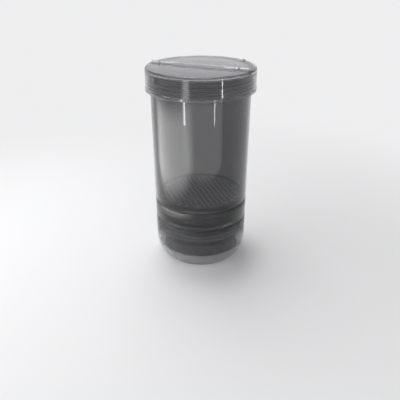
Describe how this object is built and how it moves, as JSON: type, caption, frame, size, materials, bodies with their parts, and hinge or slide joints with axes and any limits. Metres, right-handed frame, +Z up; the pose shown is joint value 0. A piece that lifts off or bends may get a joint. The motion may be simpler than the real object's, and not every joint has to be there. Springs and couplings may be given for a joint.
{
  "type": "feeder insect dusting shaker",
  "caption": "Clear shaker for dusting feeder insects: tapered cup with a sieve floor, screw-off powder ring and base cup, and a screw lid with a hinged pouring flap.",
  "frame": {"origin": "centre of the flat foot, on the surface that the shaker stands on", "axes": "+Z up along the cup's axis, +X along the flap's hinge line, -Y towards the pouring edge"},
  "size_m": [0.0856, 0.0856, 0.1606],
  "materials": {
    "cup_smoke": "clear smoke-grey moulded plastic, glossy",
    "base_smoke": "clear smoke-grey moulded plastic, glossy",
    "lid_smoke": "clear smoke-grey moulded plastic, glossy",
    "sieve_dark": "dark grey moulded plastic, satin",
    "seal": "soft, matt",
    "pin": "dark grey plastic"
  },
  "bodies": {
    "base": {"base_cup": "base_smoke"},
    "base_gasket": {"base_seal": "seal"},
    "ring": {"powder_ring": "base_smoke"},
    "cup_gasket": {"cup_seal": "seal"},
    "cup": {"main_cup": "cup_smoke"},
    "sieve": {"sieve_ring": "sieve_dark", "sieve_mesh": "sieve_dark"},
    "lid_gasket": {"lid_seal": "seal"},
    "lid": {"lid_ring": "lid_smoke", "hinge_pins": "pin"},
    "flap": {"pour_flap": "lid_smoke"}
  },
  "joints": [
    {"name": "base_rise", "type": "slide", "parent": "base", "child": "base_gasket", "axis": [0, 0, 1], "range_m": [0, 0.018]},
    {"name": "base_turn", "type": "hinge", "parent": "base_gasket", "child": "ring", "pos_m": [0, 0, 0.0358], "axis": [0, 0, 1], "range_deg": [0, 2160]},
    {"name": "cup_rise", "type": "slide", "parent": "ring", "child": "cup_gasket", "axis": [0, 0, 1], "range_m": [0, 0.0135]},
    {"name": "cup_turn", "type": "hinge", "parent": "cup_gasket", "child": "cup", "pos_m": [0, 0, 0.0512], "axis": [0, 0, 1], "range_deg": [0, 1620]},
    {"name": "lid_rise", "type": "slide", "parent": "cup", "child": "lid_gasket", "axis": [0, 0, 1], "range_m": [0, 0.0135]},
    {"name": "lid_turn", "type": "hinge", "parent": "lid_gasket", "child": "lid", "pos_m": [0, 0, 0.1541], "axis": [0, 0, 1], "range_deg": [0, 1620]},
    {"name": "flap_hinge", "type": "hinge", "parent": "lid", "child": "flap", "pos_m": [0, -0.004, 0.1588], "axis": [-1, 0, 0], "range_deg": [0, 175]},
    {"name": "sieve_lift", "type": "slide", "parent": "cup", "child": "sieve", "axis": [0, 0, 1], "range_m": [0, 0.09]}
  ],
  "couplings": [
    {"joint": "base_rise", "follows": "base_turn", "m_per_rad": 0.00047746},
    {"joint": "cup_rise", "follows": "cup_turn", "m_per_rad": 0.00047746},
    {"joint": "lid_rise", "follows": "lid_turn", "m_per_rad": 0.00047746}
  ]
}
